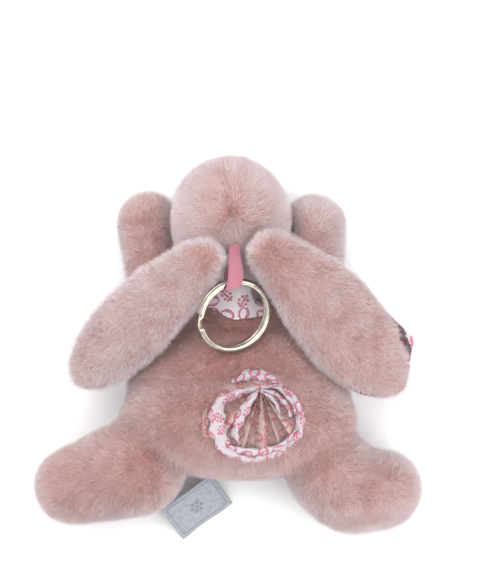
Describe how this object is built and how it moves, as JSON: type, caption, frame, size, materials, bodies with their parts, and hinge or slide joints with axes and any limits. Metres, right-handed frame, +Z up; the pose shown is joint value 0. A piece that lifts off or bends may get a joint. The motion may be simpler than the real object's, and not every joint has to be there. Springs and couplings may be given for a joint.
{
  "type": "plush keychain",
  "caption": "Plush rabbit lying on its belly, with hinged ears, arms and legs, a gathered cotton tail, a sewn label and a ribbon loop that holds a split ring.",
  "frame": {"origin": "on the surface the toy lies on, under the middle of its bounding box", "axes": "+X to the toy's right, +Y towards its head and paws, +Z up, away from its belly"},
  "size_m": [0.1551, 0.1534, 0.0573],
  "materials": {
    "plush": "long pile plush, dusty pink",
    "filling": "loose polyester fibre",
    "printed_cotton": "plain woven cotton with a small raspberry print",
    "ribbon": "grosgrain",
    "nickel": "polished nickel plate on steel wire",
    "label": "woven satin",
    "eye_thread": "satin stitch embroidery",
    "nose_thread": "satin stitch embroidery"
  },
  "bodies": {
    "torso": {"body_back_panel": "plush", "body_belly_panel": "plush", "body_stuffing": "filling", "head_left_panel": "plush", "head_right_panel": "plush", "head_stuffing": "filling", "left_eye": "eye_thread", "right_eye": "eye_thread", "nose": "nose_thread", "collar": "printed_cotton", "tail_base": "printed_cotton", "tail_core": "printed_cotton", "tail_inner_fold": "printed_cotton", "tail_outer_fold": "printed_cotton"},
    "left_ear": {"left_ear_fur": "plush", "left_ear_lining": "printed_cotton", "left_ear_wadding": "filling"},
    "right_ear": {"right_ear_fur": "plush", "right_ear_lining": "printed_cotton", "right_ear_wadding": "filling"},
    "left_arm": {"left_arm_cover": "plush", "left_arm_stuffing": "filling"},
    "right_arm": {"right_arm_cover": "plush", "right_arm_stuffing": "filling"},
    "left_leg": {"left_leg_cover": "plush", "left_leg_stuffing": "filling"},
    "right_leg": {"right_leg_cover": "plush", "right_leg_stuffing": "filling"},
    "ribbon": {"ribbon_strap": "ribbon"},
    "ribbon_end": {"ribbon_fold": "ribbon"},
    "ring": {"split_ring": "nickel"},
    "label": {"label": "label"}
  },
  "joints": [
    {"name": "left_ear_lift", "type": "hinge", "parent": "torso", "child": "left_ear", "pos_m": [-0.004, 0.0355, 0.053], "axis": [0.6529, -0.7575, 0], "range_deg": [-75, 0]},
    {"name": "right_ear_lift", "type": "hinge", "parent": "torso", "child": "right_ear", "pos_m": [0.0115, 0.0385, 0.053], "axis": [0.6867, 0.7269, 0], "range_deg": [-75, 0]},
    {"name": "left_arm_swing", "type": "hinge", "parent": "torso", "child": "left_arm", "pos_m": [-0.027, 0.0115, 0.0144], "axis": [0, 0, 1], "range_deg": [0, 35], "stiffness_Nm_per_rad": 0.004},
    {"name": "right_arm_swing", "type": "hinge", "parent": "torso", "child": "right_arm", "pos_m": [0.0335, 0.0115, 0.0144], "axis": [0, 0, -1], "range_deg": [0, 35], "stiffness_Nm_per_rad": 0.004},
    {"name": "left_leg_lift", "type": "hinge", "parent": "torso", "child": "left_leg", "pos_m": [-0.037, -0.047, 0.0197], "axis": [-0.2915, 0.9566, 0], "range_deg": [0, 40]},
    {"name": "right_leg_lift", "type": "hinge", "parent": "torso", "child": "right_leg", "pos_m": [0.0415, -0.0495, 0.0179], "axis": [-0.3079, -0.9514, 0], "range_deg": [0, 40]},
    {"name": "ribbon_swing", "type": "hinge", "parent": "torso", "child": "ribbon", "pos_m": [0.0028, 0.0376, 0.051], "axis": [-0.9235, -0.1995, 0.3276], "range_deg": [0, 80]},
    {"name": "ring_swing", "type": "hinge", "parent": "ribbon", "child": "ribbon_end", "pos_m": [0.00207, 0.02395, 0.05318], "axis": [-0.9235, -0.1995, 0.3276], "range_deg": [0, 70]},
    {"name": "ring_turn", "type": "hinge", "parent": "ribbon_end", "child": "ring", "pos_m": [0.0024, 0.0116, 0.0466], "axis": [0.3828, -0.4262, 0.8196], "continuous": true},
    {"name": "label_flap", "type": "hinge", "parent": "torso", "child": "label", "pos_m": [-0.007, -0.0503, 0.011], "axis": [-0.809, -0.5878, 0], "range_deg": [0, 60]}
  ]
}
